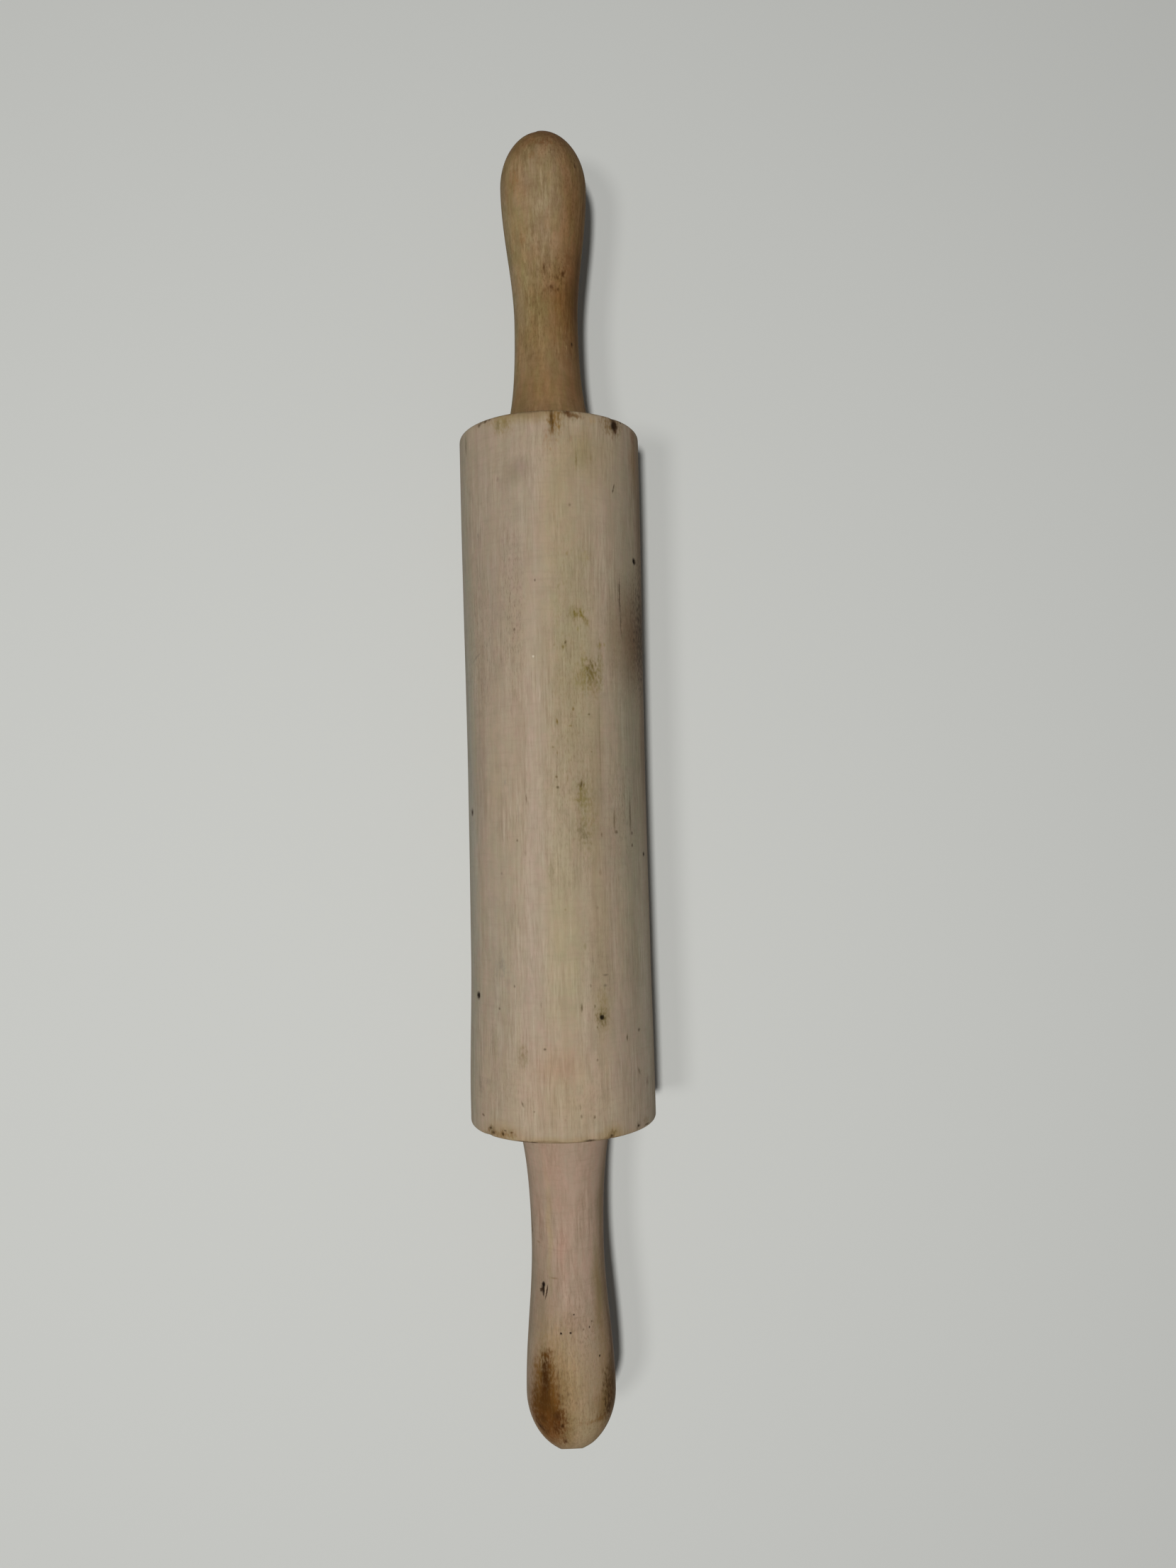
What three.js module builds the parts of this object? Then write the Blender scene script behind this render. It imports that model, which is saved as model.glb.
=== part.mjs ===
// Wooden rolling pin: a turned barrel that runs loose on a straight axle, with a turned handle glued on each end.
// Millimetres, +Z up. The pin lies along Y on a table at Z = 0, with the darker handle at +Y,
// and the origin is below the middle of its overall length.
import * as THREE from "three";

// Barrel: straight bands at the ends and a slightly hollow middle, worn round at the rims.
const barrelLength = 225;
const barrelEndRadius = 30;
const barrelHollow = 0.7;
const barrelEndBand = 12;
const barrelRimRound = 1.4;

// Axle: a straight dowel, loose in the barrel and glued into the handles.
const axleRadius = 6;
const axleEndChamfer = 1;
const runningClearance = 0.8;
const endFloat = 0.6;

// Sockets in the handles, and the mouths of every hole.
const socketDepth = 48;
const glueGap = 0.2;
const mouthChamfer = 1;

// Handles: flared neck, waist, bulb and a small flat tip. Lengths run from the shoulder that faces the barrel.
const shoulderRound = 0.8;
const darkHandleSize = {
  length: 103.4,
  neckRadius: 15.2,
  flareLength: 10.5,
  waistRadius: 10.7,
  waistAt: 39.4,
  bulbRadius: 14.5,
  bulbAt: 85,
  tipRadius: 3.2,
  tipTaper: 0.52,
};
const paleHandleSize = {
  length: 106.4,
  neckRadius: 15.4,
  flareLength: 14.5,
  waistRadius: 11.9,
  waistAt: 39,
  bulbRadius: 14.7,
  bulbAt: 87.5,
  tipRadius: 2.9,
  tipTaper: 0.59,
};

// Sides of each turned piece. The barrel's count leaves one flat side down, for it to rest on.
const barrelSides = 32;
const handleSides = 24;
const curveSteps = 7;
const tipSteps = 9;

const boreRadius = axleRadius + runningClearance;
const socketRadius = axleRadius + glueGap;
const shoulderAt = barrelLength / 2 + endFloat;
const axleLength = 2 * (shoulderAt + socketDepth - glueGap);
const axisHeight = barrelEndRadius * Math.cos(Math.PI / barrelSides);
const barrelShift = (paleHandleSize.length - darkHandleSize.length) / 2;

const paleWood = new THREE.MeshStandardMaterial({ color: 0x9d8b75, roughness: 0.8, metalness: 0 });
const brownWood = new THREE.MeshStandardMaterial({ color: 0x7d6647, roughness: 0.75, metalness: 0 });
const pinkWood = new THREE.MeshStandardMaterial({ color: 0x9a8371, roughness: 0.75, metalness: 0 });
const dowelWood = new THREE.MeshStandardMaterial({ color: 0xa8946f, roughness: 0.8, metalness: 0 });

// Continues a profile to a radius and height on a curve that leaves and arrives parallel to the axis.
function easeTo(path, radius, height) {
  const from = path.currentPoint;
  const third = (height - from.y) / 3;
  path.bezierCurveTo(from.x, from.y + third, radius, height - third, radius, height);
}

// Turns a profile of radius and height about Y, with a flat side at the bottom.
function turned(name, path, sides, material) {
  const geometry = new THREE.LatheGeometry(path.getPoints(curveSteps), sides, Math.PI / sides);
  const mesh = new THREE.Mesh(geometry, material);
  mesh.name = name;
  return mesh;
}

// The barrel's profile goes up its outside and back down its bore, so it closes on itself.
function makeBarrel() {
  const end = barrelLength / 2;
  const rim = barrelEndRadius - barrelRimRound;
  const bandFrom = end - barrelRimRound;
  const bandTo = bandFrom - barrelEndBand;
  const path = new THREE.Path();
  path.moveTo(boreRadius + mouthChamfer, -end);
  path.lineTo(rim, -end);
  path.quadraticCurveTo(barrelEndRadius, -end, barrelEndRadius, -bandFrom);
  path.lineTo(barrelEndRadius, -bandTo);
  easeTo(path, barrelEndRadius - barrelHollow, 0);
  easeTo(path, barrelEndRadius, bandTo);
  path.lineTo(barrelEndRadius, bandFrom);
  path.quadraticCurveTo(barrelEndRadius, end, rim, end);
  path.lineTo(boreRadius + mouthChamfer, end);
  path.lineTo(boreRadius, end - mouthChamfer);
  path.lineTo(boreRadius, mouthChamfer - end);
  path.lineTo(boreRadius + mouthChamfer, -end);
  return turned("barrel", path, barrelSides, paleWood);
}

function makeAxle() {
  const end = axleLength / 2;
  const path = new THREE.Path();
  path.moveTo(0, -end);
  path.lineTo(axleRadius - axleEndChamfer, -end);
  path.lineTo(axleRadius, axleEndChamfer - end);
  path.lineTo(axleRadius, end - axleEndChamfer);
  path.lineTo(axleRadius - axleEndChamfer, end);
  path.lineTo(0, end);
  return turned("axle_rod", path, handleSides, dowelWood);
}

// A handle's profile starts at the bottom of its socket, goes out over the shoulder and ends at the tip.
function makeHandle(name, size, material) {
  const path = new THREE.Path();
  path.moveTo(0, socketDepth);
  path.lineTo(socketRadius, socketDepth);
  path.lineTo(socketRadius, mouthChamfer);
  path.lineTo(socketRadius + mouthChamfer, 0);
  path.lineTo(size.neckRadius - shoulderRound, 0);
  path.quadraticCurveTo(size.neckRadius, 0, size.neckRadius, shoulderRound);
  path.quadraticCurveTo(size.waistRadius, size.flareLength, size.waistRadius, size.waistAt);
  easeTo(path, size.bulbRadius, size.bulbAt);
  // Past the bulb the radius falls as a power of 1 - u * u, where u runs from the bulb towards a point,
  // and the flat tip cuts it off.
  const tipU = Math.sqrt(1 - (size.tipRadius / size.bulbRadius) ** (1 / size.tipTaper));
  for (let i = 1; i <= tipSteps; i += 1) {
    const u = tipU * Math.sin((i / tipSteps) * (Math.PI / 2));
    const height = size.bulbAt + (u / tipU) * (size.length - size.bulbAt);
    path.lineTo(size.bulbRadius * (1 - u * u) ** size.tipTaper, height);
  }
  path.lineTo(0, size.length);
  return turned(name, path, handleSides, material);
}

const barrel = makeBarrel();
const axle = makeAxle();

const darkHandle = makeHandle("dark_handle", darkHandleSize, brownWood);
darkHandle.position.y = shoulderAt;

const paleHandle = makeHandle("pale_handle", paleHandleSize, pinkWood);
paleHandle.position.y = -shoulderAt;
paleHandle.rotation.z = Math.PI;

const rollingPin = new THREE.Group();
rollingPin.name = "rolling_pin";
rollingPin.position.set(0, barrelShift, axisHeight);
rollingPin.add(barrel, axle, darkHandle, paleHandle);

export default rollingPin;
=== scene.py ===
import math

import bmesh
import bpy
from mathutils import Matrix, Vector, noise


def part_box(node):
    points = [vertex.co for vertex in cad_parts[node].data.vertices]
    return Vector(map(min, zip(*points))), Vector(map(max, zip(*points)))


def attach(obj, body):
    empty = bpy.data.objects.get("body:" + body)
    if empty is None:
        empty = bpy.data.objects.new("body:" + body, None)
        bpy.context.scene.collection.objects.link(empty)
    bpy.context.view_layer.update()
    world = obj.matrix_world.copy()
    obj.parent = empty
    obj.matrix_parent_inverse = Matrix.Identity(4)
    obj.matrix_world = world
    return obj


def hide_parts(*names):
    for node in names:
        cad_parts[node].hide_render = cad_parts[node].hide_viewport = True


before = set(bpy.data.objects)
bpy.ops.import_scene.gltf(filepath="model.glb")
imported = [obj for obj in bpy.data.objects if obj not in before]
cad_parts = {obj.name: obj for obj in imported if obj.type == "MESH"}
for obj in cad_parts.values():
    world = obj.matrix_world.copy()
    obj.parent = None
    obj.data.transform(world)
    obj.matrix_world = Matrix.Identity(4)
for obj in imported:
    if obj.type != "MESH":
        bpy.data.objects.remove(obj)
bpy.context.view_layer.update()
mm = 0.001
barrelLow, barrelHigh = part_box("barrel")
darkLow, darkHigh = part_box("dark_handle")
paleLow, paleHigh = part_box("pale_handle")
axisHeight = (barrelLow.z + barrelHigh.z) / 2  # the barrel lies on the table, so this is its radius too
barrelMiddle = (barrelLow.y + barrelHigh.y) / 2
scene = bpy.context.scene
scene.view_settings.view_transform = "Standard"
print("frame loaded, axis", round(axisHeight / mm, 2), "mm above the table")


def linearColour(code):
    channels = [int(code[i:i + 2], 16) / 255 for i in (1, 3, 5)]
    return (*[c / 12.92 if c < 0.04045 else ((c + 0.055) / 1.055) ** 2.4 for c in channels], 1)


def addNode(tree, kind, settings, inputs):
    node = tree.nodes.new(kind)
    for name, value in settings.items():
        setattr(node, name, value)
    for socket, value in inputs.items():
        if isinstance(value, bpy.types.NodeSocket):
            tree.links.new(value, node.inputs[socket])
        else:
            node.inputs[socket].default_value = value
    return node


def ease(t):
    t = min(max(t, 0), 1)
    return t * t * (3 - 2 * t)


# Where a mark or stain is, in millimetres: along the piece from its zero, and round it from the top.
# Returns how far a point is from the mark's middle, as a share of its half size.
def reachOf(mark, along, around, radius):
    markAlong, markAround, length, width, tilt = mark[:5]
    dx = around - math.radians(markAround) * radius
    dy = along - markAlong
    turn = math.radians(tilt)
    ex = (dx * math.cos(turn) - dy * math.sin(turn)) / (width / 2)
    ey = (dx * math.sin(turn) + dy * math.cos(turn)) / (length / 2)
    return math.hypot(ex, ey)


# camera
cameraFit = {
    "imageHeight": 2212,
    "focalPixels": 1550,
    "place": (-1.02, -10.38, 395.63),  # mm
    "turn": (1.450, -1.777, -1.351),  # degrees, about Z first
}
camera = bpy.data.objects.new("camera", bpy.data.cameras.new("camera"))
scene.collection.objects.link(camera)
camera.location = Vector(cameraFit["place"]) * mm
camera.rotation_mode = "ZYX"
camera.rotation_euler = [math.radians(angle) for angle in cameraFit["turn"]]
camera.data.lens = cameraFit["focalPixels"] * camera.data.sensor_width / cameraFit["imageHeight"]
camera.data.clip_start = 0.01
scene.camera = camera
print("camera set, lens", round(camera.data.lens, 2), "mm")


# wood: one builder for the turned pieces, which differ in colour, figure, stains and marks
woodDetail = {
    "patchSize": (8, 24),  # mm across and along, over which the fine grain comes and goes
    "patchRange": (0.36, 0.66),
    "patchLeast": 0.2,
    "fineUnder": 1.5,  # mm across
    "layerShift": (7.3, 3.1),  # keeps the layers of the figure from lining up
    "ringStretch": 0.012,
    "ringSway": 3.5,
    "endRange": (0.6, 0.95),
    "endShare": 0.45,
    "gritSize": (0.7, 1.5),  # mm around and along
    "gritRange": (0.3, 0.7),
    "blotchRange": (0.34, 0.62),
    "blotchLeast": 0.45,
    "fleckRange": (0.46, 0.74),
    "reliefStrength": 0.5,
    "reliefDepth": 0.12,  # mm
}


def turnedWood(name, wood, place):
    detail = woodDetail
    material = bpy.data.materials.new(name)
    material.use_nodes = True
    tree = material.node_tree
    tree.nodes.clear()
    coords = addNode(tree, "ShaderNodeTexCoord", {}, {})
    onAxis = addNode(tree, "ShaderNodeMapping", {}, {  # millimetres from the piece's zero on the axis
        "Vector": coords.outputs["Object"],
        "Scale": (1 / mm, place["way"] / mm, 1 / mm),
        "Location": (0, -place["way"] * place["zero"] / mm, -axisHeight / mm),
    }).outputs["Vector"]
    parts = addNode(tree, "ShaderNodeSeparateXYZ", {}, {"Vector": onAxis})
    angle = addNode(tree, "ShaderNodeMath", {"operation": "ARCTAN2"}, {
        0: parts.outputs["X"], 1: parts.outputs["Z"]})
    around = addNode(tree, "ShaderNodeMath", {"operation": "MULTIPLY"}, {
        0: angle.outputs[0], 1: place["radius"]})
    # the skin unrolled, in millimetres, going on over the rims and in towards the axis
    offAxis = addNode(tree, "ShaderNodeCombineXYZ", {}, {
        "X": parts.outputs["X"], "Y": parts.outputs["Z"]})
    fromAxis = addNode(tree, "ShaderNodeVectorMath", {"operation": "LENGTH"}, {0: offAxis.outputs[0]})
    pastRim = addNode(tree, "ShaderNodeMath", {"operation": "SUBTRACT"}, {
        0: place["rimAt"], 1: fromAxis.outputs["Value"]})
    inward = addNode(tree, "ShaderNodeMath", {"operation": "MAXIMUM"}, {0: pastRim.outputs[0], 1: 0})
    end = addNode(tree, "ShaderNodeMath", {"operation": "SIGN"}, {0: parts.outputs["Y"]})
    skinAlong = addNode(tree, "ShaderNodeMath", {"operation": "MULTIPLY_ADD"}, {
        0: inward.outputs[0], 1: end.outputs[0], 2: parts.outputs["Y"]})
    skin = addNode(tree, "ShaderNodeCombineXYZ", {}, {
        "X": around.outputs[0], "Y": skinAlong.outputs[0]}).outputs[0]

    # the figure: stretched noise, each layer pulling the colour to its own tint, the fine ones in patches
    colour = linearColour(wood["base"])
    heights = []
    patchWidth, patchLength = detail["patchSize"]
    patchVector = addNode(tree, "ShaderNodeVectorMath", {"operation": "MULTIPLY"}, {
        0: onAxis, 1: (1 / patchWidth, 1 / patchLength, 1 / patchWidth)})
    patchNoise = addNode(tree, "ShaderNodeTexNoise", {}, {
        "Vector": patchVector.outputs[0], "Scale": 1, "Detail": 3})
    patches = addNode(tree, "ShaderNodeMapRange", {"interpolation_type": "SMOOTHSTEP"}, {
        "Value": patchNoise.outputs[0], "From Min": detail["patchRange"][0],
        "From Max": detail["patchRange"][1], "To Min": detail["patchLeast"]}).outputs[0]
    for i, (across, along, octaves, low, high, tint, amount) in enumerate(wood["figure"]):
        stretched = addNode(tree, "ShaderNodeMapping", {}, {
            "Vector": onAxis, "Scale": (1 / across, 1 / along, 1 / across),
            "Location": (detail["layerShift"][0] * i, detail["layerShift"][1] * i, 0)})
        pattern = addNode(tree, "ShaderNodeTexNoise", {}, {
            "Vector": stretched.outputs[0], "Scale": 1, "Detail": octaves, "Roughness": 0.6})
        share = addNode(tree, "ShaderNodeMapRange", {"interpolation_type": "SMOOTHSTEP"}, {
            "Value": pattern.outputs[0], "From Min": low, "From Max": high, "To Max": amount}).outputs[0]
        if across < detail["fineUnder"]:
            share = addNode(tree, "ShaderNodeMath", {"operation": "MULTIPLY"}, {
                0: share, 1: patches}).outputs[0]
        colour = addNode(tree, "ShaderNodeMix", {"data_type": "RGBA"}, {
            0: share, 6: colour, 7: linearColour(tint)}).outputs[2]
        heights.append(share)

    # growth rings, faint along the side and plain on the end grain
    ringed = addNode(tree, "ShaderNodeMapping", {}, {
        "Vector": onAxis, "Scale": (1, detail["ringStretch"], 1),
        "Location": (wood["pith"][0], 0, wood["pith"][1])})
    rings = addNode(tree, "ShaderNodeTexWave", {"wave_type": "RINGS", "rings_direction": "Y"}, {
        "Vector": ringed.outputs[0], "Scale": math.tau / 20 / wood["ringWidth"],
        "Distortion": detail["ringSway"], "Detail": 2, "Detail Scale": 0.6})
    facing = addNode(tree, "ShaderNodeSeparateXYZ", {}, {"Vector": coords.outputs["Normal"]})
    endOn = addNode(tree, "ShaderNodeMath", {"operation": "ABSOLUTE"}, {0: facing.outputs["Y"]})
    endGrain = addNode(tree, "ShaderNodeMapRange", {"interpolation_type": "SMOOTHSTEP"}, {
        "Value": endOn.outputs[0], "From Min": detail["endRange"][0],
        "From Max": detail["endRange"][1]}).outputs[0]
    ringShare = addNode(tree, "ShaderNodeMapRange", {}, {
        "Value": endGrain, "To Min": wood["rings"][0], "To Max": wood["rings"][1]})
    ringMix = addNode(tree, "ShaderNodeMath", {"operation": "MULTIPLY"}, {
        0: rings.outputs["Fac"], 1: ringShare.outputs[0]})
    colour = addNode(tree, "ShaderNodeMix", {"data_type": "RGBA"}, {
        0: ringMix.outputs[0], 6: colour, 7: linearColour(wood["ringTint"])}).outputs[2]
    endShare = addNode(tree, "ShaderNodeMath", {"operation": "MULTIPLY"}, {
        0: endGrain, 1: detail["endShare"]})
    colour = addNode(tree, "ShaderNodeMix", {"data_type": "RGBA"}, {
        0: endShare.outputs[0], 6: colour, 7: linearColour(wood["endTint"])}).outputs[2]

    # patterns that break up the stains: grit for ragged edges and blotches, flecks for the open pores
    gritWidth, gritLength = detail["gritSize"]
    gritVector = addNode(tree, "ShaderNodeVectorMath", {"operation": "MULTIPLY"}, {
        0: skin, 1: (1 / gritWidth, 1 / gritLength, 0)})
    grit = addNode(tree, "ShaderNodeTexNoise", {}, {
        "Vector": gritVector.outputs[0], "Scale": 1, "Detail": 4}).outputs[0]
    gritLow, gritHigh = detail["gritRange"]
    speckle = addNode(tree, "ShaderNodeMapRange", {}, {
        "Value": grit, "From Min": gritLow, "From Max": gritHigh}).outputs[0]
    blotches = addNode(tree, "ShaderNodeMapRange", {}, {
        "Value": grit, "From Min": detail["blotchRange"][0], "From Max": detail["blotchRange"][1],
        "To Min": 1, "To Max": detail["blotchLeast"]}).outputs[0]
    fleckWidth, fleckLength = wood["fleckSize"]
    fleckVector = addNode(tree, "ShaderNodeVectorMath", {"operation": "MULTIPLY"}, {
        0: onAxis, 1: (1 / fleckWidth, 1 / fleckLength, 1 / fleckWidth)})
    fleckNoise = addNode(tree, "ShaderNodeTexNoise", {}, {
        "Vector": fleckVector.outputs[0], "Scale": 1, "Detail": 2})
    flecks = addNode(tree, "ShaderNodeMapRange", {"interpolation_type": "SMOOTHSTEP"}, {
        "Value": fleckNoise.outputs[0], "From Min": detail["fleckRange"][0],
        "From Max": detail["fleckRange"][1]}).outputs[0]

    # rows of colour on the skin, with the span and sway of their outlines in mm, how far a dent's full
    # colour goes, where it ends, how ragged the edge is, and the pattern that they show through
    groups = (
        (wood["tints"], 11, 5, 0, 1.25, 0.2, None),
        (wood["fleckZones"], 5, 3, 0, 1.25, 0, flecks),
        (wood["stains"], 2.2, 1.2, 0, 1.3, 0.6, blotches),
        (wood["marks"], 0.7, 0.4, 0.4, 1.3, 0.25, None),
    )
    # stains, marks and tints gathered into one colour; a few of the tints are painted shade and painted
    # sheen
    stainAndShade = linearColour(wood["base"])
    for rows, span, sway, core, edge, ragged, pattern in groups:
        wander = addNode(tree, "ShaderNodeTexNoise", {}, {"Vector": skin, "Scale": 1 / span, "Detail": 3})
        centred = addNode(tree, "ShaderNodeVectorMath", {"operation": "SUBTRACT"}, {
            0: wander.outputs["Color"], 1: (0.5, 0.5, 0.5)})
        swayed = addNode(tree, "ShaderNodeVectorMath", {"operation": "MULTIPLY_ADD"}, {
            0: centred.outputs[0], 1: (sway, sway, 0), 2: skin})
        for markAlong, markAround, length, width, tilt, tint, amount, *depth in rows:
            centre = Vector((math.radians(markAround) * place["radius"], markAlong, 0))
            size = Vector((2 / width, 2 / length, 0))
            spread = swayed.outputs[0]
            if tilt:
                spread = addNode(tree, "ShaderNodeVectorRotate", {"rotation_type": "Z_AXIS"}, {
                    "Vector": spread, "Center": centre, "Angle": math.radians(tilt)}).outputs[0]
            local = addNode(tree, "ShaderNodeVectorMath", {"operation": "MULTIPLY_ADD"}, {
                0: spread, 1: size, 2: -centre * size})
            reach = addNode(tree, "ShaderNodeVectorMath", {"operation": "LENGTH"}, {0: local.outputs[0]})
            reach = reach.outputs["Value"]
            if ragged:
                reach = addNode(tree, "ShaderNodeMath", {"operation": "MULTIPLY_ADD"}, {
                    0: speckle, 1: ragged, 2: reach}).outputs[0]
            full = core if depth else core / 4
            share = addNode(tree, "ShaderNodeMapRange", {"interpolation_type": "SMOOTHSTEP"}, {
                "Value": reach, "From Min": full + ragged / 2, "From Max": edge + ragged / 2,
                "To Min": amount, "To Max": 0}).outputs[0]
            if pattern:
                share = addNode(tree, "ShaderNodeMath", {"operation": "MULTIPLY"}, {
                    0: share, 1: pattern}).outputs[0]
            stainAndShade = addNode(tree, "ShaderNodeMix", {"data_type": "RGBA"}, {
                0: share, 6: stainAndShade, 7: linearColour(tint)}).outputs[2]

    # the figure shows through the stains and the painted shade and sheen as it would through a wash
    grain = addNode(tree, "ShaderNodeVectorMath", {"operation": "DIVIDE"}, {
        0: colour, 1: linearColour(wood["base"])[:3]})
    colour = addNode(tree, "ShaderNodeMix", {"data_type": "RGBA", "blend_type": "MULTIPLY"}, {
        0: 1, 6: stainAndShade, 7: grain.outputs[0]}).outputs[2]

    # raised grain
    relief = addNode(tree, "ShaderNodeMath", {"operation": "ADD"}, {0: heights[-1], 1: heights[-2]})
    bump = addNode(tree, "ShaderNodeBump", {"invert": True}, {
        "Height": relief.outputs[0], "Strength": detail["reliefStrength"],
        "Distance": detail["reliefDepth"] * mm})
    gloss = addNode(tree, "ShaderNodeMapRange", {}, {
        "Value": grit, "From Min": gritLow, "From Max": gritHigh,
        "To Min": wood["roughness"][0], "To Max": wood["roughness"][1]})
    shader = addNode(tree, "ShaderNodeBsdfPrincipled", {}, {
        "Base Color": colour, "Roughness": gloss.outputs[0], "Normal": bump.outputs[0],
        "IOR": 1.5, "Specular IOR Level": wood["specular"]})
    addNode(tree, "ShaderNodeOutputMaterial", {}, {"Surface": shader.outputs[0]})
    return material


# turning: a profile of radius and distance along, spun about the axis
def sweepTo(profile, corner, end, step):  # a quadratic curve that leaves and arrives towards the corner
    start = profile[-1]
    count = max(3, round((Vector(end) - Vector(start)).length / step))
    for i in range(1, count + 1):
        t = i / count
        profile.append(tuple(
            (1 - t) ** 2 * a + 2 * t * (1 - t) * c + t * t * b for a, c, b in zip(start, corner, end)))


def easeTo(profile, end, step):  # leaves and arrives parallel to the axis
    (fromRadius, fromAlong), (toRadius, toAlong) = profile[-1], end
    count = max(1, round(math.dist(profile[-1], end) / step))
    for i in range(1, count + 1):
        t = i / count
        radius = fromRadius + (toRadius - fromRadius) * ease(t)
        profile.append((radius, fromAlong + (toAlong - fromAlong) * t))


def lineTo(profile, end, step):
    start = profile[-1]
    count = max(1, round(math.dist(start, end) / step))
    for i in range(1, count + 1):
        profile.append(tuple(a + (b - a) * i / count for a, b in zip(start, end)))


def turnOnLathe(profile, place, sides):
    bm = bmesh.new()
    line = []
    for radius, along in profile:
        y = place["zero"] + place["way"] * along * mm
        line.append(bm.verts.new((0, y, axisHeight - radius * mm)))
    edges = [bm.edges.new(pair) for pair in zip(line, line[1:])]
    bmesh.ops.spin(bm, geom=line + edges, cent=(0, 0, axisHeight), axis=(0, 1, 0),
                   angle=math.tau, steps=sides, use_merge=True)
    bmesh.ops.remove_doubles(bm, verts=bm.verts, dist=1e-6)
    bmesh.ops.recalc_face_normals(bm, faces=bm.faces)
    return bm


# finer faces round the dents, then the unevenness of hand turning and the dents themselves
denting = {
    "band": 10,  # mm along the piece, to look up the dents near a point
    "margin": 2,  # mm
    "finerWithin": 1.6,  # times the dent's half size
    "cuts": 2,
}


def wearSkin(bm, place, wear, dents):
    bandLength = denting["band"]
    byBand = {}  # the dents that reach into each band of the piece
    for dent in dents:
        span = dent[2] + denting["margin"]
        first = math.floor((dent[0] - span) / bandLength)
        last = math.floor((dent[0] + span) / bandLength)
        for band in range(first, last + 1):
            byBand.setdefault(band, []).append(dent)
    close = set()
    for face in bm.faces:
        middle = face.calc_center_median()
        along = (middle.y - place["zero"]) * place["way"] / mm
        around = math.atan2(middle.x, middle.z - axisHeight) * place["radius"]
        for dent in byBand.get(math.floor(along / bandLength), ()):
            if reachOf(dent, along, around, place["radius"]) < denting["finerWithin"]:
                close.update(face.edges)
    finer = [edge for edge in bm.edges if edge in close]  # in the mesh's own order, the same each run
    bmesh.ops.subdivide_edges(bm, edges=finer, cuts=denting["cuts"], use_grid_fill=True)
    oval = wear["oval"]
    for vert in bm.verts:
        x, z = vert.co.x / mm, (vert.co.z - axisHeight) / mm
        if math.hypot(x, z) < wear["skinFrom"]:
            continue
        along = (vert.co.y - place["zero"]) * place["way"] / mm
        around = math.atan2(x, z) * place["radius"]
        spot = Vector((x, along * wear["stretch"], z)) / wear["span"]
        sink = wear["uneven"] * (0.5 + 0.5 * noise.noise(spot))
        for dent in byBand.get(math.floor(along / bandLength), ()):
            sink += dent[7] * (1 - ease(reachOf(dent, along, around, place["radius"])))
        outward = Vector((x, 0, z)).normalized()
        widening = oval["left"] if x < 0 else oval["right"]
        sink -= widening * ease((along - oval["from"]) / oval["over"]) * outward.x ** 2
        vert.co -= outward * sink * mm
    bmesh.ops.recalc_face_normals(bm, faces=bm.faces)


sharpFrom = math.radians(40)


def finishPiece(bm, name, material, body, node):
    mesh = bpy.data.meshes.new(name)
    bm.to_mesh(mesh)
    bm.free()
    mesh.shade_smooth()
    mesh.set_sharp_from_angle(angle=sharpFrom)
    mesh.materials.append(material)
    piece = bpy.data.objects.new(name, mesh)
    scene.collection.objects.link(piece)
    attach(piece, body)
    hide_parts(node)
    print(name, "made with", sum(len(face.vertices) - 2 for face in mesh.polygons), "triangles")


# barrel: a plain pale hardwood, turned and sanded, never finished:
# dry and matt to the eye, greyish beige, with fine straight grain
barrelPlace = {"zero": barrelMiddle, "way": 1, "radius": axisHeight / mm, "rimAt": axisHeight / mm - 1}
barrelShape = {
    "end": (barrelHigh.y - barrelLow.y) / 2 / mm,
    "radius": axisHeight / mm,
    "hollow": 0.45,
    "endBand": 12,
    "rimRound": 1.3,
    "boreRadius": 6.8,
    "mouth": 1,
    "rimStep": 0.4,
    "step": 0.8,
    "sides": 232,
}
barrelWear = {
    "skinFrom": 24,
    "uneven": 0.1,
    "span": 22,
    "stretch": 0.4,
    "oval": {"from": -60, "over": -45, "left": 0.9, "right": 0.25},  # the wood shrank oval at one end
}
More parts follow.
